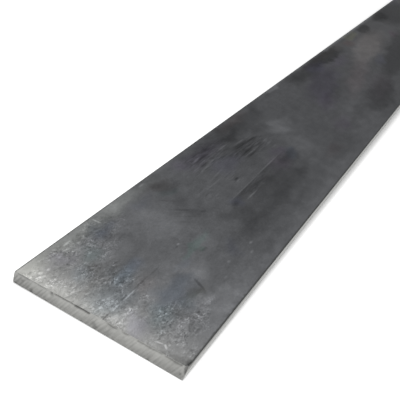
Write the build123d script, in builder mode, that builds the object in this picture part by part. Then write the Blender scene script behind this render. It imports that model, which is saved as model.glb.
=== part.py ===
from build123d import *

import os

# Hot-rolled steel flat bar, cut to length with a saw. Everything is in millimetres.
# X runs across the width, Y along the length and Z up through the thickness.
# The origin is the middle of the underside.

# Driving dimensions
bar_width = 80.0  # between the crests of the two rolled edges
bar_thickness = 6.0  # between the two wide faces
bar_length = 1000.0  # from saw cut to saw cut
edge_crown = 0.12  # how far each rolled edge bulges out at half its thickness
arris_radius = 0.6  # rounding that the rolls leave along the four long arrises
cut_break = 0.2  # width of the arris taken off round each sawn end

# Rolled section: two flat wide faces joined by two shallow crowned edges
wide_face_half = bar_width / 2 - edge_crown
edge_crest = bar_width / 2
mid_height = bar_thickness / 2

with BuildPart() as flat_bar:
    with BuildSketch(Plane.XZ) as rolled_section:
        with BuildLine():
            top_face = Line((-wide_face_half, bar_thickness), (wide_face_half, bar_thickness))
            right_edge = ThreePointArc(top_face @ 1, (edge_crest, mid_height), (wide_face_half, 0))
            underside = Line(right_edge @ 1, (-wide_face_half, 0))
            ThreePointArc(underside @ 1, (-edge_crest, mid_height), top_face @ 0)
        make_face()
        fillet(rolled_section.vertices(), radius=arris_radius)
    extrude(amount=bar_length / 2, both=True)

    # Both sawn ends are square to the length, with their sharp arris taken off
    sawn_ends = flat_bar.faces().filter_by(Axis.Y)
    chamfer(sawn_ends.edges(), length=cut_break)

flat_bar.part.label = "flat_bar"

os.makedirs("parts", exist_ok=True)
export_step(flat_bar.part, "parts/flat_bar.step")
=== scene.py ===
import math

import bpy
import numpy as np
from bpy.props import FloatProperty, FloatVectorProperty, IntProperty, PointerProperty
from bpy.types import Operator, Panel, PropertyGroup
from mathutils import Matrix, Vector


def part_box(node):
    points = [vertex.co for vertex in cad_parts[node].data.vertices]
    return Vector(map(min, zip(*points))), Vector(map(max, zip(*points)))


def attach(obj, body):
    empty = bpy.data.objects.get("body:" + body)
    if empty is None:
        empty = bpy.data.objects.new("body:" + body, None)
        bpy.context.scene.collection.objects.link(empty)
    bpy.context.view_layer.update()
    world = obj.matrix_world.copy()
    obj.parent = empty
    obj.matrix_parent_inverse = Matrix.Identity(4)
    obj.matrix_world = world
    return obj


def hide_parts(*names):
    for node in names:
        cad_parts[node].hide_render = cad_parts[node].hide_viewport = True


bl_info = {
    "name": "Hot-Rolled Flat Bar",
    "version": (1, 0, 0),
    "blender": (4, 5, 0),
    "location": "View3D > Sidebar > Flat Bar",
    "description": "A saw-cut length of hot-rolled flat bar in its mill scale, on a plain pale stage",
    "category": "Add Mesh",
}

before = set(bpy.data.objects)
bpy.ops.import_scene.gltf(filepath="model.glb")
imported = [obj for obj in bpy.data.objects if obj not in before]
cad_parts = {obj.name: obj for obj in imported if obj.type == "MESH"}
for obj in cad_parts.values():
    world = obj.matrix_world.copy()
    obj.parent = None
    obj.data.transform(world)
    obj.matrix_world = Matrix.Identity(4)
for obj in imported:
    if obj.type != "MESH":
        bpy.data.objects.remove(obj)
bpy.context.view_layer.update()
BAR_LOW, BAR_HIGH = (np.array(corner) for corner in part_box("flat_bar"))
BAR_SIZE = BAR_HIGH - BAR_LOW
BAR_MIDDLE = (BAR_LOW + BAR_HIGH) / 2
MM = 0.001

# Marks are placed in millimetres from the left-hand near corner of the top face: across, along, up
MARK_ORIGIN = (BAR_LOW[0], BAR_LOW[1], BAR_HIGH[2])
WIDTH, LENGTH, THICKNESS = BAR_SIZE / MM


# ---------------------------------------------------------------- sizes and colours


class BarShape(PropertyGroup):
    """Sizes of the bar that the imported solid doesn't give by itself."""

    arris_radius: FloatProperty(
        name="Arris radius", description="Rounding along the four long arrises",
        default=0.6 * MM, min=0.1 * MM, subtype="DISTANCE", unit="LENGTH")
    edge_crown: FloatProperty(
        name="Edge crown", description="How far each rolled edge bulges at half its thickness",
        default=0.12 * MM, min=0.01 * MM, subtype="DISTANCE", unit="LENGTH")
    cut_break: FloatProperty(
        name="Cut break", description="Width of the arris taken off round each sawn end",
        default=0.2 * MM, min=0.0, subtype="DISTANCE", unit="LENGTH")
    groove_pitch: FloatProperty(
        name="Groove pitch", description="Distance from one saw groove to the next",
        default=1.85 * MM, min=0.2 * MM, subtype="DISTANCE", unit="LENGTH")
    groove_depth: FloatProperty(
        name="Groove depth", description="Depth of the deepest saw grooves",
        default=0.12 * MM, min=0.0, subtype="DISTANCE", unit="LENGTH")
    groove_lean: FloatProperty(
        name="Groove lean", description="How far the saw grooves lean from upright",
        default=math.radians(27), subtype="ANGLE", unit="ROTATION")
    nick_depth: FloatProperty(
        name="Nick depth", description="Depth of the torn nicks and pits of a sawn face",
        default=0.35 * MM, min=0.0, subtype="DISTANCE", unit="LENGTH")
    burr_depth: FloatProperty(
        name="Burr depth", description="Depth of the fold under the burr on the upper arris of a cut",
        default=0.4 * MM, min=0.0, subtype="DISTANCE", unit="LENGTH")
    burr_ripple: FloatProperty(
        name="Burr ripple", description="How far the fold under the burr wanders up and down",
        default=0.11 * MM, min=0.0, subtype="DISTANCE", unit="LENGTH")
    knocked_corner: FloatVectorProperty(
        name="Knocked corner",
        description="What a blow took off the right-hand near corner: across, along, down",
        default=(1.3 * MM, 6.6 * MM, 3.2 * MM), min=0.01 * MM, subtype="XYZ", unit="LENGTH")
    square_error: FloatProperty(
        name="Square error", description="How far the saw wandered from square at the worst corner of a cut",
        default=1.2 * MM, min=0.0, subtype="DISTANCE", unit="LENGTH")
    face_steps: IntProperty(
        name="Face steps", description="Grid steps across half of a wide face", default=150, min=8)
    length_rows: IntProperty(
        name="Length rows", description="Grid rows from end to end", default=110, min=20)


class ScaleFinish(PropertyGroup):
    """Colours of the rolled faces and of the sawn ends."""

    scale_colour: FloatVectorProperty(
        name="Mill scale", description="Dark blue-grey of the unworn scale",
        subtype="COLOR", default=(0.0925, 0.0945, 0.099), min=0, max=1)
    # Light grey of scale rubbed near a cut, which also stands in as a painted highlight there
    rubbed_and_highlit_colour: FloatVectorProperty(
        name="Rubbed scale", description="Light grey where handling has rubbed the scale near a cut",
        subtype="COLOR", default=(0.36, 0.36, 0.345), min=0, max=1)
    # Dark scale along the long arrises, which also stands in as a painted dark reflection of their rounding
    arris_scale_and_reflection_colour: FloatVectorProperty(
        name="Arris scale", description="Thick dark scale along the long arrises",
        subtype="COLOR", default=(0.066, 0.068, 0.066), min=0, max=1)
    sawn_colour: FloatVectorProperty(
        name="Sawn steel", description="Bare metal of the saw cuts",
        subtype="COLOR", default=(0.34, 0.34, 0.327), min=0, max=1)
    # Worn scale on the narrow edges, made light partly as a painted reflection of the floor
    edge_scale_and_reflection_colour: FloatVectorProperty(
        name="Rolled edge", description="Worn scale on the narrow rolled edges",
        subtype="COLOR", default=(0.40, 0.40, 0.385), min=0, max=1)


class Stage(PropertyGroup):
    """Camera, floor and surroundings."""

    camera_place: FloatVectorProperty(
        name="Camera place", description="Where the lens stands",
        default=(0.08943, -0.72845, 0.21177), subtype="TRANSLATION", unit="LENGTH")
    azimuth: FloatProperty(
        name="Azimuth", description="How far the view is turned from looking along the bar",
        default=math.radians(16.133), subtype="ANGLE", unit="ROTATION")
    elevation: FloatProperty(
        name="Elevation", description="How far the view looks down",
        default=math.radians(29.962), subtype="ANGLE", unit="ROTATION")
    roll: FloatProperty(
        name="Roll", description="How far the camera is turned about its own line of sight",
        default=math.radians(18.967), subtype="ANGLE", unit="ROTATION")
    lens: FloatProperty(
        name="Lens", description="Focal length in millimetres",
        default=73.17, min=10.0)
    sensor: FloatProperty(
        name="Sensor", description="Width of the camera's sensor in millimetres",
        default=36.0, min=1.0)
    floor_reach: FloatProperty(
        name="Floor reach", description="From the middle of the floor to its edge",
        default=6.0, min=1.0, subtype="DISTANCE", unit="LENGTH")
    floor_gap: FloatProperty(
        name="Floor gap", description="How far the floor lies below the bar, so that the two never fight",
        default=0.05 * MM, min=0.0, subtype="DISTANCE", unit="LENGTH")
    floor_colour: FloatVectorProperty(
        name="Floor", description="Plain pale floor", subtype="COLOR", default=(0.85, 0.85, 0.85),
        min=0, max=1)
    sky_level: FloatProperty(
        name="Sky level", description="Strength of the white surroundings as a light",
        default=0.72, min=0.0)


# ---------------------------------------------------------------- shader maths


class Signal:
    """A socket in a node tree. Arithmetic on it adds the node that works the result out."""

    def __init__(self, tree, socket=None):
        self.tree = tree
        self.socket = socket

    def node(self, kind, settings=None, inputs=None, output=0):
        """Adds a node: its settings first, then the values or links of its sockets. Gives one output."""
        made = self.tree.nodes.new(kind)
        for name, setting in (settings or {}).items():
            setattr(made, name, setting)
        for name, value in (inputs or {}).items():
            socket = made.inputs[name]
            if isinstance(value, Signal):
                self.tree.links.new(value.socket, socket)
            elif socket.type == "RGBA" and len(value) == 3:
                socket.default_value = (*value, 1.0)
            else:
                socket.default_value = value
        return Signal(self.tree, made.outputs[output])

    def part(self, output):
        """Another output of the node that this socket belongs to."""
        return Signal(self.tree, self.socket.node.outputs[output])

    def into(self, socket):
        """Links this to a shader's socket."""
        self.tree.links.new(self.socket, socket)

    def is_vector(self):
        """Whether this is a vector or a colour."""
        return self.socket.type in {"VECTOR", "RGBA"}

    def combine(self, operation, *values):
        """The values through one Math node, or through Vector Math where one of them is a vector."""
        vectors = [v for v in values if isinstance(v, tuple) or isinstance(v, Signal) and v.is_vector()]
        plain = [v for v in values if isinstance(v, Signal) and not v.is_vector()]
        if operation == "MULTIPLY" and len(vectors) == 1 and len(plain) == 1:
            return self.node(
                "ShaderNodeVectorMath", {"operation": "SCALE"}, {"Vector": vectors[0], "Scale": plain[0]})
        if vectors:
            spread = [(v, v, v) if isinstance(v, (int, float)) else v for v in values]
            return self.node("ShaderNodeVectorMath", {"operation": operation}, dict(enumerate(spread)))
        return self.node("ShaderNodeMath", {"operation": operation}, dict(enumerate(values)))

    def __add__(self, other):
        return self.combine("ADD", self, other)

    def __radd__(self, other):
        return self.combine("ADD", other, self)

    def __sub__(self, other):
        return self.combine("SUBTRACT", self, other)

    def __rsub__(self, other):
        return self.combine("SUBTRACT", other, self)

    def __mul__(self, other):
        return self.combine("MULTIPLY", self, other)

    def __rmul__(self, other):
        return self.combine("MULTIPLY", other, self)

    def __truediv__(self, other):
        return self.combine("DIVIDE", self, other)

    def __rpow__(self, other):
        return self.combine("POWER", other, self)

    def __abs__(self):
        return self.combine("ABSOLUTE", self)

    def least(self, other):
        """The smaller of the two."""
        return self.combine("MINIMUM", self, other)

    def most(self, other):
        """The larger of the two."""
        return self.combine("MAXIMUM", self, other)

    def ramp(self, start, end, low=0.0, high=1.0):
        """A smooth step: low up to start, high from end on."""
        return self.node(
            "ShaderNodeMapRange", {"interpolation_type": "SMOOTHSTEP"},
            {"Value": self, "From Min": start, "From Max": end, "To Min": low, "To Max": high})

    def blend(self, first, second):
        """A colour mixed from first to second by this mask."""
        return self.node("ShaderNodeMix", {"data_type": "RGBA"}, {0: self, 6: first, 7: second}, output=2)

    def moved(self, centre=(0, 0, 0), turn=0.0, size=(1, 1, 1)):
        """These coordinates seen from centre, turned, and measured in units of size."""
        return self.node(
            "ShaderNodeMapping", {"vector_type": "TEXTURE"},
            {"Vector": self, "Location": centre, "Rotation": (0, 0, turn), "Scale": size})

    def noise(self, size, seed=0.0, detail=2.0, rough=0.5, warp=0.0):
        """Fractal noise of about -1 to 1 at these coordinates, with lumps of size."""
        shift = (seed * 31.7, seed * 17.3, seed * 7.9)
        seen = self.moved(shift, size=size)
        raw = seen.node(
            "ShaderNodeTexNoise", {"noise_type": "FBM"},
            {"Vector": seen, "Scale": 1.0, "Detail": detail, "Roughness": rough, "Distortion": warp})
        return (raw - 0.5) * 4.0

    def measure(self, operation, *others):
        """A number measured on these coordinates, such as a length or a dot product."""
        given = dict(enumerate((self, *others)))
        return self.node("ShaderNodeVectorMath", {"operation": operation}, given, output="Value")

    def spot(self, across, along, half_width, half_length, turn=0.0, core=0.0):
        """A soft ellipse on the top face: 1 inside its core and 0 from its rim on."""
        half_depth = 3.0
        seen = self - (across, along, 0.0)
        if turn:
            sine, cosine = math.sin(math.radians(turn)), math.cos(math.radians(turn))
            beside = seen.measure("DOT_PRODUCT", (cosine, sine, 0.0))
            ahead = seen.measure("DOT_PRODUCT", (-sine, cosine, 0.0))
            above = seen.measure("DOT_PRODUCT", (0.0, 0.0, 1.0))
            seen = seen.node("ShaderNodeCombineXYZ", inputs={0: beside, 1: ahead, 2: above})
        reach = (seen / (half_width, half_length, half_depth)).measure("LENGTH")
        return reach.ramp(1.0, core)


def open_shader(material):
    """A new material's Principled sockets, and a Signal to build from."""
    material.use_nodes = True
    tree = material.node_tree
    return tree.nodes["Principled BSDF"].inputs, Signal(tree)


def bar_place(start):
    """Millimetres from the mark origin, as a vector and as its three parts."""
    place = start.node("ShaderNodeTexCoord", output="Object")
    where = place.moved(MARK_ORIGIN, size=(MM, MM, MM))
    parts = where.node("ShaderNodeSeparateXYZ", inputs={0: where})
    return where, parts, parts.part("Y"), parts.part("Z")


# ---------------------------------------------------------------- marks


# Each mark is a soft ellipse on the top face. Its place and half axes are in millimetres, its turn in
# degrees, its core is the share of it that has full strength, and one stop is a factor of two in brightness.

# Soft lights and darks, partly the scale's own tone and partly painted reflection: the light ones near the
# cuts and along the rims are partly a painted highlight, and the dark ones far along partly a painted dark
# reflection. Columns: across, along, half width, half length, turn, core, stops
CLOUDS = {
    "rubbed right corner": (68, 6, 24, 62, 0, 0.0, 0.38),
    "rubbed right column": (68, 18, 5, 14, 0, 0.2, 0.38),
    "rubbed right column, far": (68, 44, 5, 16, 0, 0.2, 0.42),
    "rubbed right rim": (75, 56, 10, 36, 0, 0.0, 0.55),
    "rubbed right rim, near": (78, 22, 6, 30, 0, 0.2, 0.26),
    "rubbed middle": (47, 34, 8, 60, 0, 0.0, 0.28),
    "rubbed middle, near": (50, 7, 8, 12, 0, 0.2, 0.38),
    "dull by the line": (43, 14, 5, 7, 0, 0.2, -0.22),
    "dull left": (12, 12, 7, 9, 0, 0.2, -0.26),
    "dull left corner": (5, 2, 13, 6, 0, 0.2, -0.16),
    "dull right corner": (72, 0.5, 13, 3.6, 0, 0.3, -0.50),
    "rubbed left rim": (2, 46, 6, 50, 0, 0.0, 0.48),
    "light left": (8, 34, 9, 9, 0, 0.0, 0.26),
    "dull patch": (25, 21, 13, 26, 0, 0.0, -0.38),
    "dull middle": (35, 21, 8, 16, 0, 0.0, -0.40),
    "dull column": (60, 26, 6, 28, 0, 0.0, -0.26),
    "dull column, left": (28, 38, 5, 32, 0, 0.2, -0.22),
    "dull band": (15, 55, 16, 8, 0, 0.1, -0.32),
    "shade under the gouge": (62, 46, 3.0, 8, 0, 0.1, -0.28),
    "light by the gouge": (55, 55, 9, 8, 0, 0.0, 0.40),
    "light by the blue pool": (57, 20, 8, 7, 0, 0.2, 0.18),
    "light right rim": (79, 46, 4, 8, 0, 0.1, 0.34),
    "light patch": (26, 81, 18, 15, 0, 0.3, 0.22),
    "light patch, right": (54, 61, 10, 15, 0, 0.0, 0.30),
    "light rim, left, near": (2, 82, 6, 24, 0, 0.3, 0.48),
    "light rim, left, middle": (4, 68, 6, 10, 0, 0.0, 0.36),
    "light rim, left, far": (1, 125, 4, 28, 0, 0.1, 0.26),
    "light rim, right": (79, 180, 10, 130, 0, 0.2, 0.38),
    "light rim, right, near": (77, 99, 5, 16, 0, 0.2, 0.22),
    "light by the teal": (47, 84, 6, 12, 0, 0.1, 0.22),
    "dark blue spot": (61, 90, 6, 12, 0, 0.1, -0.34),
    "dark belt": (57, 158, 12, 70, 3, 0.3, -0.34),
    "dark belt, near": (60, 117, 8, 26, 0, 0.2, -0.38),
    "dark belt, middle": (59, 160, 7, 30, 0, 0.1, -0.30),
    "dark belt, far": (60, 198, 6, 15, 0, 0.3, -0.42),
    "dark belt, left": (50, 122, 8, 18, 0, 0.1, -0.48),
    "dark by the seam": (51, 165, 5, 30, 0, 0.1, -0.24),
    "shade across": (31, 100, 5, 13, -42, 0.2, -0.16),
    "shade across, left": (23, 107, 6, 11, -20, 0.2, -0.30),
    "shade across, right": (45, 111, 5, 9, 0, 0.2, -0.22),
    "dark patch, left": (11, 107, 6, 18, 0, 0.2, -0.52),
    "dark flank": (8, 202, 9, 50, 0, 0.3, -0.60),
    "dark flank, deep": (13, 194, 6, 26, 0, 0.2, -0.46),
    "dark stripes": (25, 192, 9, 22, 0, 0.2, -0.40),
    "dark flank, near": (9, 157, 8, 22, 0, 0.2, -0.58),
    "dark flank, far": (8, 246, 8, 20, 20, 0.1, -0.42),
    "dark middle": (19, 182, 10, 60, 0, 0.0, -0.22),
    "dark middle, right": (27, 180, 16, 18, 0, 0.2, -0.18),
    "dark middle, far": (18, 222, 7, 16, 0, 0.2, -0.26),
    "dull right": (72, 170, 8, 18, 0, 0.2, -0.18),
    "blue shade by the seam": (47, 206, 6, 16, 0, 0.4, -0.36),
    "light flank": (4, 216, 4, 10, 0, 0.1, 0.22),
    "light right": (71, 215, 8, 12, 0, 0.1, 0.24),
    "light cloud": (28, 239, 11, 18, 0, 0.3, 0.54),
    "light cloud, tail": (48, 231, 16, 15, 12, 0.2, 0.34),
    "dark flank, end": (13, 231, 5, 9, 0, 0.1, -0.18),
    "light cloud, right": (60, 216, 14, 11, 0, 0.2, 0.13),
    "brown dark": (66, 246, 4, 14, 0, 0.2, -0.22),
    "light rim, left end": (1, 290, 5, 36, 0, 0.2, 0.62),
    "light right, far": (73, 310, 12, 46, 0, 0.3, 0.24),
    "dark bay": (7, 402, 9, 52, -3, 0.45, -0.95),
    "dark bay, near": (8, 344, 9, 38, -5, 0.2, -0.66),
    "purple shade": (23, 348, 13, 52, 8, 0.3, -0.30),
    "purple shade, near": (36, 334, 7, 38, 8, 0.3, -0.28),
    "dark right": (63, 381, 13, 50, 5, 0.4, -0.57),
    "ribbon": (50, 342, 7, 60, 9, 0.3, 0.22),
    "ribbon, middle": (38, 404, 9, 54, 9, 0.3, 0.18),
    "ribbon, far": (37, 436, 5, 34, 8, 0.2, 0.13),
    "dark by the ribbon": (35, 362, 6, 22, 8, 0.2, -0.16),
    "warm cloud": (25, 474, 15, 58, 6, 0.5, 0.54),
    "warm cloud, far": (24, 530, 10, 30, 6, 0.3, 0.20),
    "olive rim": (6, 490, 6, 28, 0, 0.2, 0.38),
    "dark corner": (47, 500, 12, 92, 8, 0.5, -0.62),
    "dark spot, near": (7, 530, 7, 18, 0, 0.4, -0.95),
    "dark spot, far": (7, 592, 10, 26, 0, 0.4, -0.90),
    "dark far end": (16, 632, 28, 70, 0, 0.4, -0.80),
}

# Temper colours: across, along, half width, half length, turn, core,
# and what is added to red, green and blue
TINTS = {
    "blue, left": (10, 52, 7, 13, 0, 0.0, (-0.08, -0.03, 0.07)),
    "green grey": (16, 34, 8, 13, 0, 0.0, (-0.08, 0.02, 0.01)),
    "blue green": (20, 19, 7, 10, 0, 0.2, (-0.04, 0.00, 0.03)),
    "blue grey": (38, 14, 12, 16, 0, 0.2, (-0.06, -0.01, 0.03)),
    "blue flecks": (33, 28, 7, 11, 0, 0.2, (-0.09, -0.01, 0.05)),
    "blue band": (33, 38, 6, 12, 0, 0.1, (-0.08, -0.03, 0.06)),
    "blue pool": (55, 38, 9, 19, 0, 0.2, (-0.09, -0.03, 0.05)),
    "blue pool, far": (49, 60, 4, 10, 0, 0.2, (-0.04, -0.01, 0.03)),
    "blue pool, near": (53, 23, 6, 8, 0, 0.2, (-0.05, 0.01, 0.03)),
    "blue pool, right": (63, 38, 5, 12, 0, 0.2, (-0.05, 0.00, 0.03)),
    "blue spot": (61, 90, 7, 10, 0, 0.2, (-0.03, -0.02, 0.04)),
    "blue spot, left": (11, 86, 6, 10, 0, 0.0, (-0.02, -0.01, 0.03)),
    "teal": (59, 20, 7, 15, 0, 0.0, (-0.09, 0.00, 0.02)),
    "green streak": (46, 76, 3, 20, 2, 0.3, (-0.10, 0.05, -0.01)),
    "green streak, side": (50, 77, 2.6, 6, 0, 0.2, (-0.08, 0.05, -0.02)),
    "teal streak, left": (15, 106, 3, 16, -8, 0.0, (-0.05, 0.02, 0.01)),
    "brown patch, left": (10, 105, 6, 16, 0, 0.2, (0.03, 0.00, -0.02)),
    "lavender, left": (8, 20, 8, 10, 0, 0.0, (-0.01, -0.03, 0.03)),
    "brown": (44, 34, 6, 14, 0, 0.0, (0.03, -0.01, -0.02)),
    "olive": (63, 46, 4, 9, 0, 0.0, (0.01, 0.01, -0.04)),
    "lavender": (54, 6, 9, 10, 0, 0.2, (-0.01, -0.02, 0.05)),
    "green rim": (3, 58, 8, 80, 0, 0.2, (0.01, 0.02, -0.03)),
    "purple flank": (10, 158, 8, 34, 0, 0.1, (0.01, -0.04, 0.06)),
    "purple middle": (24, 164, 9, 22, 0, 0.2, (-0.02, -0.03, 0.06)),
    "purple rim": (7, 134, 6, 12, 0, 0.0, (0.02, -0.03, 0.06)),
    "purple dashes": (39, 206, 5, 14, 0, 0.1, (0.02, -0.05, 0.06)),
    "purple seam": (47, 194, 9, 18, 0, 0.1, (0.03, -0.05, 0.04)),
    "blue seam": (45, 212, 6, 12, 0, 0.2, (-0.06, -0.02, 0.06)),
    "blue knot": (45, 128, 4, 10, 0, 0.1, (-0.05, -0.03, 0.08)),
    "brown flank": (4, 215, 6, 34, 0, 0.1, (0.06, -0.01, -0.03)),
    "brown dark": (65, 244, 6, 20, 0, 0.1, (0.04, -0.01, -0.01)),
    "purple patch": (24, 350, 14, 54, 8, 0.4, (-0.01, -0.05, 0.06)),
    "purple patch, near": (37, 318, 10, 28, 8, 0.2, (0.01, -0.05, 0.06)),
    "purple tail": (57, 292, 8, 22, 8, 0.1, (0.02, -0.04, 0.04)),
    "blue core": (9, 374, 8, 24, 0, 0.2, (-0.04, -0.06, 0.10)),
    "purple bay": (18, 412, 8, 30, 0, 0.1, (0.01, -0.04, 0.06)),
    "brown ribbon": (39, 396, 11, 70, 9, 0.2, (0.06, -0.02, -0.02)),
    "warm patch": (24, 486, 17, 80, 6, 0.3, (0.06, 0.00, -0.04)),
    "olive rim": (5, 490, 6, 24, 0, 0.3, (0.04, 0.04, -0.14)),
    "rose rim": (10, 466, 6, 18, 0, 0.1, (0.12, -0.03, -0.06)),
    "warm rim": (6, 420, 5, 90, 0, 0.3, (0.03, 0.00, -0.03)),
    "rose end": (32, 552, 7, 18, 8, 0.1, (0.08, -0.06, 0.03)),
    "blue dark": (42, 460, 6, 24, 8, 0.0, (-0.04, -0.03, 0.07)),
    "violet dark": (58, 396, 12, 50, 8, 0.2, (0.03, -0.02, 0.01)),
}

# Scratches, chips, bare specks and rubbed places with a firm edge, and one painted highlight along the far
# left arris:
# across, along, half width, half length, turn, stops
SCUFFS = {
    "scribed line, near": (41.6, 3.6, 0.6, 4.2, 0, -1.10),
    "scribed line, bright": (41.7, 10.5, 0.6, 4.2, 0, 1.05),
    "scribed line, dark": (41.0, 17, 0.6, 5.0, 0, -0.70),
    "scribed line, middle": (41.8, 22, 0.6, 6.5, 0, 1.10),
    "scribed line, far": (41.3, 32, 0.7, 8.0, 0, -0.55),
    "scribed line, end": (41.6, 44, 0.6, 7.0, 0, -0.32),
    "gouge": (60.6, 51.2, 5.6, 1.2, -27, -0.60),
    "shade of the gouge": (64, 47.5, 3.5, 2.6, -27, -0.30),
    "hooked chip": (69.3, 31.8, 2.4, 0.8, -6, 0.85),
    "pit above the chip": (68.8, 33.8, 0.9, 1.3, 0, -0.80),
    "pit below the chip": (69.3, 29.4, 1.5, 0.9, 0, -0.60),
    "rim scrape": (4.1, 56, 3.0, 0.9, 8, 0.75),
    "rim scrape, short": (8.4, 58.5, 2.2, 0.8, 10, 0.50),
    "curved scrape": (4.3, 31, 0.7, 5.0, 4, 0.70),
    "curved scrape, short": (6.6, 27, 0.7, 3.4, -12, 0.60),
    # a painted highlight along the left arris, standing in for its reflection
    "painted highlight on the arris, far": (0, 500, 3.8, 250, 0, 0.85),
    "knocked corner": (79.5, 3.4, 2.2, 4.2, 22, -1.05),
    "corner chip": (68.0, 5.3, 0.8, 2.0, 40, 1.10),
    "corner chip, small": (68.8, 7.2, 0.7, 1.1, 0, 0.60),
    "corner chip, flat": (65.0, 5.6, 2.4, 0.7, 14, 0.90),
    "speck, middle": (37.2, 6.2, 0.9, 1.6, 0, 0.90),
    "speck, near": (35.4, 3.6, 0.7, 1.2, 0, 0.60),
    "speck by the line": (47.6, 3.8, 0.9, 1.6, 0, 0.50),
    "light by the line": (44.4, 5.0, 2.4, 4.0, 0, 0.42),
    "dull by the line": (46.8, 15.3, 3.2, 3.6, 0, -0.22),
    "speck, left": (9.1, 10.7, 0.8, 1.8, 0, 0.90),
    "speck, left near": (8.2, 6.6, 1.2, 1.6, 0, 0.70),
    "speck, quarter": (24.2, 6.2, 0.8, 1.5, 0, 0.70),
    "speck, quarter far": (22.6, 9.4, 0.8, 1.6, 0, 0.70),
    "speck, far": (28.9, 9.6, 0.8, 1.6, 0, 0.80),
}

# Places near the cut that kept a smooth skin, without flecks:
# across, along, half width, half length, turn, core
SMOOTH_SKIN = {
    "blue pool": (52, 42, 8, 22, 0, 0.5),
    "lavender": (55, 5, 8, 8, 0, 0.5),
    "right corner": (71, 4, 9, 6, 0, 0.2),
    "left corner": (16, 13, 3, 8, 0, 0.3),
    "left rim": (0, 20, 4, 40, 0, 0.6),
    "middle": (27, 48, 7, 14, 0, 0.3),
    "right rim": (77, 40, 5, 40, 0, 0.3),
}

# Places near the cut that are flecked more than the rest:
# across, along, half width, half length, turn, core, share
FLECKED = {
    "by the left rim": (11, 50, 14, 34, 0, 0.3, 0.50),
    "left corner": (8, 5, 12, 7, 0, 0.3, 0.28),
    "blue flecks": (33, 27, 7, 9, 0, 0.3, 0.55),
    "left": (6, 24, 6, 8, 0, 0.2, 0.35),
    "quarter": (22, 26, 6, 7, 0, 0.2, 0.35),
    "right": (68, 32, 6, 14, 0, 0.3, 0.12),
    "right, far": (70, 43, 5, 12, 0, 0.3, 0.28),
}

# Where something hard was dragged along the bar: across, along, half width, half length, turn, core, stops
DRAGS = {
    "by the left rim": (13, 160, 11, 32, 0, 0.4, 0.48),
    "over the dark dashes": (25, 192, 9, 30, 0, 0.4, 0.55),
    "middle": (33, 152, 8, 14, 0, 0.2, 0.35),
    "beside the seam": (45, 156, 5, 30, 0, 0.3, 0.40),
    "near": (30, 126, 8, 12, 0, 0.2, 0.25),
}

# Single dashes, knots and chips with a soft edge: across, along, half width, half length, turn, stops
DASHES = {
    "dark stripe": (20.3, 190, 2.2, 16, -4, -0.60),
    "dark stripe, far": (22.0, 205, 1.6, 15, -4, -0.42),
    "light stripe": (18.4, 196, 0.9, 17, -4, 0.52),
    "light stripe, right": (25.0, 195, 0.8, 16, 0, 0.62),
    "dark stripe, right": (26.5, 188, 1.0, 17, 0, -0.52),
    "light stripe, last": (28.4, 188, 0.8, 15, 0, 0.50),
    "dark stripe, last": (29.8, 188, 1.0, 12, 0, -0.55),
    "smudge": (31.4, 212, 1.1, 7, 0, 0.45),
    "smudge, left": (28.2, 213, 0.9, 5, 0, 0.35),
    "smudge, right": (35.4, 211, 1.0, 5, 0, 0.35),
    "white dash": (10.2, 151, 0.9, 9, 3, 0.85),
    "dark by the white dash": (11.6, 156, 1.3, 10, 0, -0.55),
    "white dash, right": (13.8, 152, 0.8, 7, 3, 0.45),
    "dark, left": (15.8, 150, 1.1, 7, 0, -0.55),
    "light line, left": (17.6, 150, 0.9, 17, 4, 0.46),
    "light line, upper": (14.2, 180, 0.8, 15, 0, 0.42),
    "light line, middle": (25.2, 147, 0.9, 16, 4, 0.38),
    "light line, lower": (28.5, 136, 0.8, 13, 0, 0.38),
    "light line, near": (32.2, 124, 0.9, 6, 0, 0.28),
    "dark hole": (34.8, 152, 1.1, 3.6, 0, -0.85),
    "light by the hole": (36.4, 151, 0.7, 4, 0, 0.50),
    "light side of the seam": (41.5, 184, 0.8, 24, 0, 0.55),
    "light side, near": (42.0, 148, 0.7, 30, 0, 0.30),
    "light in the seam": (48.0, 145, 0.8, 13, 0, 0.80),
    "dark knot": (45.2, 127, 2.4, 6, 0, -0.55),
    "knot in the shade": (31, 101, 2.8, 6, -30, -0.36),
    "knot, small": (36, 106, 1.5, 3.4, -30, -0.42),
    "cross drag, far": (28, 98.6, 0.9, 12, -41, -0.22),
    "cross drag, light": (27, 95, 0.9, 10, -41, 0.18),
    "cross drag, middle": (32.5, 95, 0.9, 10, -40, -0.20),
    "cross drag, near": (34, 90, 0.9, 8, -43, -0.20),
    "cross drag, left": (19, 99.6, 0.9, 9, -42, -0.22),
    "pock": (39.9, 70.5, 0.8, 1.8, 0, 0.90),
    "shade of the pock": (40.4, 68.0, 0.8, 1.6, 0, -0.50),
    "chip": (2.6, 101, 1.0, 4, 0, 0.70),
    "teal spot": (50.8, 77.4, 1.4, 4, 0, -0.40),
    "chip, right": (65.2, 101, 1.1, 2.8, 0, 0.80),
    "chip, far right": (68.6, 94, 1.0, 2.8, 0, 0.60),
    "chip, near right": (63.6, 77.5, 1.0, 2.4, 0, 0.50),
    "chip, lower right": (67.4, 65.3, 0.9, 2.4, 0, 0.50),
}


# ---------------------------------------------------------------- finishes


# Distances from a cut at which the crowd of flecks begins and is full (mm)
FLECKED_ZONE = (66.0, 12.0)
# Stretch over which the placed marks give way to clouds made by noise alone (mm along)
MARKS_END = (600.0, 720.0)
# Depth below the top face over which the same happens on the way to the underside (mm up)
MARKS_FLOOR = (-2.0, -4.0)
# Core of a mark with a firm edge
FIRM = 0.3
# How strongly a smooth patch clears the flecks away
CLEARING = 0.85
# Distances from a cut between which the plain scale is made lighter, by handling and by a painted highlight
# (mm)
WORN_AND_HIGHLIT_ZONE = (102.0, 84.0)
# Distance from a cut over which the rubbed grey, which is also a painted highlight, falls to a half (mm)
RUBBED_AND_HIGHLIT_HALVING = 9.0
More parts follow.
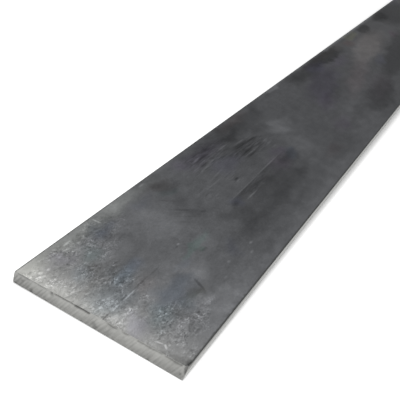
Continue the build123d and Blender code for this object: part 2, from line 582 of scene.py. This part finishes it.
# Colour that the scale mirrors at a grazing angle
GRAZING_TINT = (0.45, 0.45, 0.45, 1.0)


def with_marks(total, place, marks, **look):
    """The total plus the strength of each mark times its spot, in the order of the list."""
    for *ellipse, strength in marks.values():
        total = total + strength * place.spot(*ellipse, **look)
    return total


def scale_stops(where, apart, drift, across, along, plain):
    """How much lighter or darker than plain scale each place is, in stops."""
    to_cut = along.least(LENGTH - along)
    near_cut = to_cut.ramp(*FLECKED_ZONE)

    clouds = apart.noise((13, 34, 13), 1, detail=3.0, rough=0.55)
    lumps = apart.noise((4.5, 10, 5), 2, detail=3.0, rough=0.6)
    draw = apart.noise((0.8, 30, 1), 4, detail=2.0, rough=0.7)
    # lighter near the cuts: partly scale worn by handling, partly a painted highlight
    worn = (to_cut + clouds * 7.0).ramp(*WORN_AND_HIGHLIT_ZONE)
    stops = clouds * (0.12 + plain * 0.30) + lumps * 0.16 + draw * (0.03 + plain * 0.05) + worn * 0.16
    stops = with_marks(stops, drift, CLOUDS)
    stops = with_marks(stops, where, DASHES)
    stops = with_marks(stops, where, SCUFFS, core=FIRM)
    scrape = apart.noise((0.95, 9, 1), 13, detail=2.0, rough=0.6)
    dragged = plain * clouds.ramp(0.1, 0.7) * 0.35
    stops = stops + scrape * with_marks(dragged, drift, DRAGS)
    # a seam: a dark stretch with a sharp left side, which leans a little
    seam = where.spot(44, 172, 8, 56, core=0.5) * 0.35 + where.spot(44, 156, 5, 30, core=0.3) * 0.20
    seam = (across + along * 0.012).ramp(43.6, 44.4) * seam
    # a painted shade darkens the last three millimetres of the top face before each cut, along its upper
    # arris
    stops = stops - seam - to_cut.ramp(3.0, 0.4) * 0.35

    crowd = near_cut * (0.70 + lumps * 0.5)
    crowd = with_marks(crowd, drift, FLECKED)
    for ellipse in SMOOTH_SKIN.values():
        crowd = crowd * (1.0 - CLEARING * drift.spot(*ellipse))
    # a few flecks are left farther along
    crowd = crowd.most(to_cut.ramp(240.0, 60.0, 0.03, 0.18))
    frost = apart.noise((1.0, 1.9, 1.0), 3, detail=1.0, rough=0.6, warp=0.6)
    mottle = apart.noise((2.6, 5.0, 2.6), 10, detail=3.0, rough=0.7, warp=1.0)
    # thin curls, where this noise passes through zero
    hooks = 1.0 - abs(apart.noise((1.7, 2.8, 1.7), 9, detail=1.0, rough=0.5, warp=1.4)) * 2.6
    # the bright flecks are partly flaked scale and partly painted glints
    bright = (frost - 0.15).most(0.0) * 0.95 + hooks.ramp(0.45, 1.0) * (lumps + 0.3).ramp(0.0, 0.8)
    dark = (-0.12 - frost).most(0.0) * 1.1
    return stops + crowd * (bright - dark + mottle * 0.58), frost, lumps


def finish_scale(colours):
    """Mill scale: blue-grey oxide, rubbed light near the cuts, where it also carries a painted highlight;
    clouded, partly with painted reflection; streaked; flecked, partly with painted glints; and darker along
    its arrises, partly as painted dark reflection.
    """
    material = bpy.data.materials.new("mill_scale")
    sockets, start = open_shader(material)
    where, across, along, up = bar_place(start)
    # the depth is stretched, so that the two wide faces don't share their clouds
    apart = where.moved(size=(1, 1, 0.07))
    # full swing of the wander of the marks' outlines (mm)
    sway = (12.0, 24.0, 0.0)
    seen = apart.moved(size=(11, 18, 11))
    swirl = {"Vector": seen, "Scale": 1.0, "Detail": 2.5}
    wander = seen.node("ShaderNodeTexNoise", inputs=swirl, output="Color")
    drift = where + (wander - 0.5) * sway
    plain = along.ramp(*MARKS_END).most(up.ramp(*MARKS_FLOOR))
    stops, frost, lumps = scale_stops(where, apart, drift, across, along, plain)

    to_cut = along.least(LENGTH - along)
    to_arris = across.least(WIDTH - across)
    reach = (to_cut + lumps * 3.0).most(0.0)
    # the rubbed grey near the cuts, which is also a painted highlight, fading away from the cuts and towards
    # the right-hand arris
    rubbed = 2.0 ** (reach / -RUBBED_AND_HIGHLIT_HALVING) * across.ramp(0.0, WIDTH, 1.0, 0.45)
    colour = tuple(colours.scale_colour) * (2.0 ** stops)
    colour = rubbed.blend(colour, tuple(colours.rubbed_and_highlit_colour) * (2.0 ** (stops * 0.7)))
    temper = (1.0, 1.0, 1.0) + (wander - 0.5) * (0.5, 0.25, 0.5) * plain
    for *ellipse, cast in TINTS.values():
        temper = drift.spot(*ellipse) * cast + temper
    colour = colour * temper
    # the long arrises are darkened, as thick scale and as a painted dark reflection of their rounding; the
    # scale is worn thinner from here on, so the darkening weakens
    arris = (to_arris + frost * 0.2).ramp(1.1, 0.35) * along.ramp(270.0, 350.0, 0.85, 0.35)
    colour = arris.blend(colour, colours.arris_scale_and_reflection_colour)
    # the bite of the knocked corner is darkened towards the arris colour
    sunk = start.node("ShaderNodeAttribute", {"attribute_name": "sunk"}, output="Fac")
    colour = sunk.blend(colour, colours.arris_scale_and_reflection_colour)
    colour.into(sockets["Base Color"])
    (0.40 + lumps * 0.03 + frost * 0.03).into(sockets["Roughness"])
    sockets["Metallic"].default_value = 1.0
    sockets["Specular Tint"].default_value = GRAZING_TINT
    height = frost * to_cut.ramp(*FLECKED_ZONE) * 0.02 + lumps * 0.02
    height.node("ShaderNodeBump", inputs={"Strength": 1.0, "Distance": MM, "Height": height}).into(
        sockets["Normal"])
    return material


def finish_edge(colours):
    """The narrow rolled edges: lighter, partly as a painted reflection of the floor, scratched along the bar,
    and darker towards their upper arris as a painted reflection.
    """
    material = bpy.data.materials.new("rolled_edge")
    sockets, start = open_shader(material)
    where, _, along, up = bar_place(start)
    draw = where.noise((2, 25, 0.9), 5, detail=3.0, rough=0.7)
    lumps = where.noise((4, 9, 4), 6, detail=3.0, rough=0.6)
    to_cut = along.least(LENGTH - along)
    # lighter near the cuts: a painted reflection of the floor
    stops = draw * 0.12 + lumps * 0.08 + to_cut.ramp(70.0, 0.0) * 0.15
    # darker towards the upper arris, most near the cuts: a painted reflection
    stops = stops - up.ramp(-3.6, -0.7) * (0.55 + to_cut.ramp(110.0, 40.0) * 0.6)
    (tuple(colours.edge_scale_and_reflection_colour) * (2.0 ** stops)).into(sockets["Base Color"])
    (0.42 + lumps * 0.04).into(sockets["Roughness"])
    sockets["Metallic"].default_value = 1.0
    return material


def finish_sawn(colours, lean):
    """Bare steel of the saw cuts: darker in its grooves and towards its lower arris, both as painted shade.
    """
    material = bpy.data.materials.new("sawn_steel")
    sockets, start = open_shader(material)
    where, across, along, up = bar_place(start)
    sunk = start.node("ShaderNodeAttribute", {"attribute_name": "sunk"}, output="Fac")
    upright = across - up * math.tan(lean)
    strokes = start.node("ShaderNodeCombineXYZ", inputs={0: upright, 1: along, 2: up})
    hatch = strokes.noise((1.1, 40, 7), 11, detail=2.0, rough=0.6, warp=0.3)
    patches = strokes.noise((5, 60, 9), 12, detail=2.0, rough=0.5)
    lumps = where.noise((2.4, 40, 1.4), 7, detail=3.0, rough=0.6)
    grain = where.noise((0.7, 0.7, 0.7), 8, detail=2.0, rough=0.7)
    # painted shade in the grooves, nicks, folds and pits, and the darkened bite of the knocked corner
    stops = hatch * 0.22 + patches * 0.12 + lumps * 0.10 + grain * 0.06 - sunk * 1.3
    # painted contact shade towards the lower arris
    stops = stops - up.ramp(-1.4, -5.4) * 0.36
    (tuple(colours.sawn_colour) * (2.0 ** stops)).into(sockets["Base Color"])
    (0.46 + grain * 0.05).into(sockets["Roughness"])
    sockets["Metallic"].default_value = 1.0
    return material


# ---------------------------------------------------------------- the bar's surface


def quarter_outline(half_width, half_height, shape):
    """One quarter of the rolled section, from the middle of a wide face to the crest of an edge.

    The wide face is a straight line and the edge is an arc of radius (h^2 + c^2) / 2c, where h is half
    the thickness and c the crown. The arris is the arc that touches both: its centre lies the arris
    radius below the face, and (edge radius - arris radius) from the centre of the edge's arc.
    """
    arris_steps, edge_steps = 5, 6
    radius, crown = shape.arris_radius, shape.edge_crown
    crest_radius = (half_height**2 + crown**2) / (2 * crown)
    crest_centre = half_width - crest_radius
    arc_up = half_height - radius
    arc_across = crest_centre + math.sqrt((crest_radius - radius) ** 2 - arc_up**2)
    end_turn = math.atan2(arc_up, arc_across - crest_centre)
    face_across = np.linspace(0, arc_across, shape.face_steps, endpoint=False)
    face = np.stack([face_across, np.full(shape.face_steps, half_height)], 1)
    turn = np.linspace(math.pi / 2, end_turn, arris_steps, endpoint=False)
    arris = np.stack([arc_across + radius * np.cos(turn), arc_up + radius * np.sin(turn)], 1)
    turn = np.linspace(end_turn, 0, edge_steps)
    edge = np.stack([crest_centre + crest_radius * np.cos(turn), crest_radius * np.sin(turn)], 1)
    return np.concatenate([face, arris, edge])


# Stretches of the upper arris of a cut where a burr was folded over:
# from, to (mm from the left) and share of depth
FOLDS = (
    (1.5, 8.0, 0.45),
    (8.5, 16.0, 0.38),
    (19.0, 28.5, 0.75),
    (28.0, 36.2, 1.30),
    (43.5, 49.0, 0.55),
    (50.5, 54.0, 0.50),
    (57.0, 69.0, 0.50),
    (69.5, 78.0, 0.55),
)

# Torn nicks along the lower arris of a cut: across (mm) and share of depth
NICKS = ((1.4, 0.5), (9.2, 0.7), (16.2, 0.6), (33.4, 0.4), (39.4, 0.5), (48.4, 0.4), (57.2, 0.3), (64.2, 0.5))

# Single pits in a sawn face: across, up from the upper arris (mm), radius, share of depth
PITS = (
    (18.2, -0.8, 0.8, 1.3),
    (38.6, -3.7, 1.0, 0.5),
    (40.0, -4.6, 0.8, 0.4),
    (78.0, -3.9, 0.5, 0.8),
    (9.0, -4.7, 0.7, 0.6),
    (4.2, -2.6, 0.7, 0.5),
)


def cut_relief(across, up, shape):
    """How far the sawn face lies behind the plane of the cut, at places from the middle of the section.

    The saw's grooves are a raised cosine of the distance across less the height times the tangent of
    their lean. Two slow sines shift their phase, so that the pitch wanders, and they are deepest towards
    the left. Nicks are bells along the lower arris, folds are bells under the upper arris whose height
    follows two sines, and pits are round bells. Gives the depth, and how dark each place is painted, as
    painted shade in these hollows.
    """
    deep_place, deep_width = 5 * MM, 6 * MM
    nick_width, nick_height = 0.6 * MM, 0.8 * MM
    fold_drop, fold_height = 0.34 * MM, 0.35 * MM
    fold_run_in, fold_run_out = 1.2 * MM, 0.6 * MM
    left, top, bottom = BAR_SIZE[0] / -2, BAR_SIZE[2] / 2, BAR_SIZE[2] / -2
    run = (across - up * math.tan(shape.groove_lean)) / shape.groove_pitch
    phase = 2 * math.pi * (run + 0.30 * np.sin(run * 0.61) + 0.18 * np.sin(run * 1.47 + 1.0))
    fade = 0.24 + 0.75 * np.exp(-(((across - left - deep_place) / deep_width) ** 2))
    fade = fade * (0.7 + 0.3 * np.sin(run * 0.9 + 2.0))
    lower = np.clip((top - 0.5 * MM - up) / (1.5 * MM), 0.2, 1)
    groove = fade * lower * (0.5 + 0.5 * np.cos(phase)) ** 1.5
    at_foot = np.exp(-(((up - bottom) / nick_height) ** 2))
    nick = 0
    for place, share in NICKS:
        nick = nick + share * at_foot * np.exp(-(((across - left - place * MM) / nick_width) ** 2))
    ripple = shape.burr_ripple * (np.sin((across - left) / (0.9 * MM)) + np.sin((across - left) / (2.3 * MM)))
    under_burr = np.exp(-(((up - top + fold_drop + ripple) / fold_height) ** 2))
    fold = 0
    for start, end, share in FOLDS:
        run_in = np.clip((across - left - start * MM) / fold_run_in, 0, 1)
        run_out = np.clip((left + end * MM - across) / fold_run_out, 0, 1)
        fold = fold + share * run_in * run_out * under_burr
    pit = 0
    for pit_across, pit_up, radius, share in PITS:
        reach = np.hypot(across - left - pit_across * MM, up - top - pit_up * MM)
        pit = pit + share * np.exp(-((reach / (radius * MM)) ** 2))
    depth = shape.groove_depth * groove + shape.nick_depth * (nick + 0.5 * pit) + shape.burr_depth * fold
    # how dark each place is painted: painted shade in the grooves, nicks, folds and pits
    sunk = np.clip(0.65 * groove + nick + fold + 0.7 * pit, 0, 1)
    return depth, sunk


def cut_set_back(across, up, shape):
    """How far a sawn face lies back from the bar's full length, for places from the middle of the section.

    The share across times the share up grows to the square error at one corner, and a smaller part of it
    grows the same way to the corner opposite. The other two corners keep the full length.
    """
    opposite = 0.35
    right = np.clip(across / BAR_SIZE[0] + 0.5, 0, 1)
    top = np.clip(up / BAR_SIZE[2] + 0.5, 0, 1)
    return shape.square_error * (right * top + opposite * (1 - right) * (1 - top))


def knock_corner(points, shape):
    """Sinks the right-hand near upper corner, and tells how much each point in the bite is darkened.

    The blow took out a bite shaped as an eighth of an ellipsoid about the corner. With q the reach from
    the corner in units of its three half axes, and m the direction (1, 1, 1) / sqrt(3), a point inside
    moves by t m, where t = -q.m + sqrt((q.m)^2 + 1 - q.q), which puts it on the ellipsoid.
    """
    corner = np.array([BAR_HIGH[0], BAR_LOW[1], BAR_HIGH[2]])
    axes = np.array([-1, 1, -1]) * np.array(shape.knocked_corner)
    reach = (points - corner) / axes
    inside = np.clip(1 - (reach**2).sum(-1), 0, None)
    ahead = reach.sum(-1) / math.sqrt(3)
    sink = np.where(inside > 0, np.sqrt(ahead**2 + inside) - ahead, 0)
    return points + sink[..., None] * axes / math.sqrt(3), np.clip(inside * 3, 0, 0.85)


def make_bar_mesh(shape):
    """The section carried along the bar, and drawn in over each sawn end in rings.

    Body rows lie at half the length times tanh(k s) / tanh(k) for s from -1 to 1, which crowds them
    towards the ends. A ring of share q keeps its place along and shrinks the section: its height by q
    and its width by the same amount in metres. A strip closes the last ring of each end. Where a cut
    isn't square, the rows behind it are drawn back with it, less and less over the settling length.
    """
    crowding, last_share, rings = 2.5, 0.95, 12
    settling = 30 * MM
    sharp_turn = math.radians(35)
    wide_slot, edge_slot, sawn_slot = 0, 1, 2
    half = BAR_SIZE / 2
    quarter = quarter_outline(half[0], half[2], shape)
    outline = np.concatenate([
        quarter, quarter[-2::-1] * (1, -1), quarter[1:] * (-1, -1), quarter[-2:0:-1] * (-1, 1)])
    count = len(outline)

    s = np.linspace(-1, 1, shape.length_rows)
    body = (half[1] - shape.cut_break) * np.tanh(crowding * s) / math.tanh(crowding)
    shares = np.linspace(shape.cut_break / half[2], last_share, rings)
    row_along = np.concatenate([np.full(rings, -half[1]), body, np.full(rings, half[1])])[:, None]
    row_share = np.concatenate([shares[::-1], np.zeros(shape.length_rows), shares])[:, None]
    rows = len(row_along)

    across = outline[None, :, 0] * (1 - row_share * half[2] / half[0])
    up = outline[None, :, 1] * (1 - row_share)
    end = np.sign(row_along)
    depth, sunk = cut_relief(across * -end, up, shape)
    on_cut = row_share > 0
    settled = np.clip((half[1] - np.abs(row_along)) / settling, 0, 1)
    back = cut_set_back(across * -end, up, shape) * (1 - settled) ** 2 + np.where(on_cut, depth, 0)
    along = row_along - end * back
    points = np.stack([across, np.broadcast_to(along, across.shape), up], -1) + BAR_MIDDLE
    points, bite_darkening = knock_corner(points, shape)
    # how dark each point is painted: shade in the hollows of the cuts, and the darkened bite of the knocked
    # corner
    sunk = np.where(on_cut, sunk, 0) + bite_darkening

    row = np.arange(rows - 1)[:, None] * count
    here = np.arange(count)[None, :]
    beside = (here + 1) % count
    quads = np.stack([row + here, row + beside, row + count + beside, row + count + here], -1)
    level = np.abs(outline[:, 1]) > half[2] - shape.arris_radius
    wide = level & np.roll(level, -1)
    kind = np.where(wide, wide_slot, edge_slot)[None, :].repeat(rows - 1, 0)
    kind[:rings] = sawn_slot
    kind[-rings:] = sawn_slot

    last = len(quarter) - 1
    upper = np.arange(1 - last, last)
    lower = 2 * last - upper
    strip = np.stack([upper[:-1], upper[1:], lower[1:], lower[:-1]], -1) % count
    left = np.array([[upper[0], lower[0], 3 * last]]) % count
    right = np.array([[upper[-1], last, lower[-1]]]) % count
    tips = np.concatenate([left, right])
    far = (rows - 1) * count
    faces = quads.reshape(-1, 4).tolist()
    faces += strip[:, ::-1].tolist() + (strip + far).tolist()
    faces += tips[:, ::-1].tolist() + (tips + far).tolist()
    kinds = np.concatenate([kind.reshape(-1), np.full(len(faces) - kind.size, sawn_slot)])

    mesh = bpy.data.meshes.new("rolled_bar")
    mesh.from_pydata(points.reshape(-1, 3), [], faces)
    mesh.polygons.foreach_set("material_index", kinds.astype(np.int32))
    mesh.polygons.foreach_set("use_smooth", np.ones(len(faces), bool))
    mesh.attributes.new("sunk", "FLOAT", "POINT").data.foreach_set(
        "value", np.clip(sunk, 0, 1).reshape(-1).astype(np.float32))
    mesh.update()
    mesh.set_sharp_from_angle(angle=sharp_turn)
    return mesh


class FLATBAR_OT_bar(Operator):
    """Adds the rolled bar with its mill scale, its worn edges lightened by painted reflection, and its two
    sawn ends
    """

    bl_idname = "flatbar.bar"
    bl_label = "Add Rolled Bar"

    def execute(self, context):
        scene = context.scene
        shape, colours = scene.bar_shape, scene.bar_finish
        mesh = make_bar_mesh(shape)
        mesh.materials.append(finish_scale(colours))
        mesh.materials.append(finish_edge(colours))
        mesh.materials.append(finish_sawn(colours, shape.groove_lean))
        bar = bpy.data.objects.new("rolled_bar", mesh)
        scene.collection.objects.link(bar)
        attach(bar, "root")
        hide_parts("flat_bar")
        return {"FINISHED"}


# ---------------------------------------------------------------- stage


def seen_directly(start):
    """1 for a ray from the camera, from a mirror or through glass, and 0 for light falling on things."""
    path = start.node("ShaderNodeLightPath", output="Is Camera Ray")
    return path.most(path.part("Is Glossy Ray")).most(path.part("Is Transmission Ray"))


def make_camera(stage, scene):
    """The camera, turned by its azimuth, its elevation and then its roll."""
    data = bpy.data.cameras.new("camera")
    data.lens = stage.lens
    data.sensor_width = stage.sensor
    data.clip_start = 0.01
    data.clip_end = 50.0
    camera = bpy.data.objects.new("camera", data)
    scene.collection.objects.link(camera)
    turn = Matrix.Rotation(stage.azimuth, 4, "Z")
    turn = turn @ Matrix.Rotation(math.pi / 2 - stage.elevation, 4, "X")
    turn = turn @ Matrix.Rotation(stage.roll, 4, "Z")
    camera.matrix_world = Matrix.Translation(stage.camera_place) @ turn
    scene.camera = camera


def make_lamp(scene, name, place, aim, size, watts):
    """A round soft lamp at place, facing aim."""
    data = bpy.data.lights.new(name, "AREA")
    data.shape = "DISK"
    data.size = size
    data.energy = watts
    lamp = bpy.data.objects.new(name, data)
    scene.collection.objects.link(lamp)
    facing = (Vector(aim) - Vector(place)).to_track_quat("-Z", "Y").to_matrix().to_4x4()
    lamp.matrix_world = Matrix.Translation(place) @ facing


def make_floor(stage, scene):
    """A level square. To the eye it is lifted to white, except for the shade close beside the bar."""
    reach = stage.floor_reach
    corners = np.array([(-1, -1), (1, -1), (1, 1), (-1, 1)]) * reach
    height = np.full((4, 1), BAR_LOW[2] - stage.floor_gap)
    mesh = bpy.data.meshes.new("floor")
    mesh.from_pydata(np.concatenate([corners, height], 1), [], [(0, 1, 2, 3)])
    material = bpy.data.materials.new("floor")
    sockets, start = open_shader(material)
    sockets["Base Color"].default_value = (*stage.floor_colour, 1.0)
    sockets["Roughness"].default_value = 1.0
    sockets["Specular IOR Level"].default_value = 0.0
    _, across, along, _ = bar_place(start)
    # the shade is this wide beside the near cut (mm), and widens by this much for each mm along the bar
    near_width, widening = 0.1, 0.018
    beside = abs(across - WIDTH / 2) - WIDTH / 2
    beyond = abs(along - LENGTH / 2) - LENGTH / 2
    clear = beside.most(beyond) / (along.most(0.0).least(LENGTH) * widening + near_width)
    shade = along.ramp(60.0, 220.0, 0.48, 0.33)
    glow = along.ramp(0.0, 400.0, 0.55, 0.35) * clear.ramp(0.0, 1.0, shade, 1.0)
    level = glow * seen_directly(start)
    level.node("ShaderNodeCombineXYZ", inputs={0: level, 1: level, 2: level}).into(sockets["Emission Color"])
    sockets["Emission Strength"].default_value = 1.0
    mesh.materials.append(material)
    floor = bpy.data.objects.new("floor", mesh)
    scene.collection.objects.link(floor)


def make_surroundings(stage, scene):
    """White all round: at full strength where it is seen or mirrored, and a little less as a light."""
    world = bpy.data.worlds.new("surroundings")
    world.use_nodes = True
    scene.world = world
    background = world.node_tree.nodes["Background"].inputs
    background["Color"].default_value = (1.0, 1.0, 1.0, 1.0)
    strength = stage.sky_level + seen_directly(Signal(world.node_tree)) * (1.0 - stage.sky_level)
    strength.into(background["Strength"])


class FLATBAR_OT_stage(Operator):
    """Adds the camera, the floor, the white surroundings and the soft lamps"""

    bl_idname = "flatbar.stage"
    bl_label = "Add Stage"

    def execute(self, context):
        scene = context.scene
        stage = scene.bar_stage
        make_camera(stage, scene)
        make_floor(stage, scene)
        make_surroundings(stage, scene)
        make_lamp(scene, "key_lamp", place=(-0.9, -0.9, 2.2), aim=(0, -0.3, 0), size=0.8, watts=12.0)
        make_lamp(scene, "back_lamp", place=(-0.75, 0.55, 1.1), aim=(-0.02, -0.45, 0), size=0.7, watts=2.0)
        scene.view_settings.view_transform = "Standard"
        return {"FINISHED"}


class FLATBAR_PT_panel(Panel):
    """Sizes, colours and stage of the flat bar"""

    bl_idname = "FLATBAR_PT_panel"
    bl_label = "Flat Bar"
    bl_space_type = "VIEW_3D"
    bl_region_type = "UI"
    bl_category = "Flat Bar"

    def draw(self, context):
        scene = context.scene
        for group, operator in (
            (scene.bar_shape, None),
            (scene.bar_finish, "flatbar.bar"),
            (scene.bar_stage, "flatbar.stage"),
        ):
            box = self.layout.box()
            for name in group.__annotations__:
                box.prop(group, name)
            if operator:
                box.operator(operator)


CLASSES = (BarShape, ScaleFinish, Stage, FLATBAR_OT_bar, FLATBAR_OT_stage, FLATBAR_PT_panel)


def register():
    """Registers the classes and gives the scene its three groups of settings."""
    for made in CLASSES:
        bpy.utils.register_class(made)
    bpy.types.Scene.bar_shape = PointerProperty(type=BarShape)
    bpy.types.Scene.bar_finish = PointerProperty(type=ScaleFinish)
    bpy.types.Scene.bar_stage = PointerProperty(type=Stage)


def unregister():
    """Takes away what register added, in the opposite order."""
    del bpy.types.Scene.bar_stage
    del bpy.types.Scene.bar_finish
    del bpy.types.Scene.bar_shape
    for made in reversed(CLASSES):
        bpy.utils.unregister_class(made)


def main():
    """Builds the bar and its stage."""
    register()
    bpy.ops.flatbar.bar()
    bpy.ops.flatbar.stage()


if __name__ == "__main__":
    main()
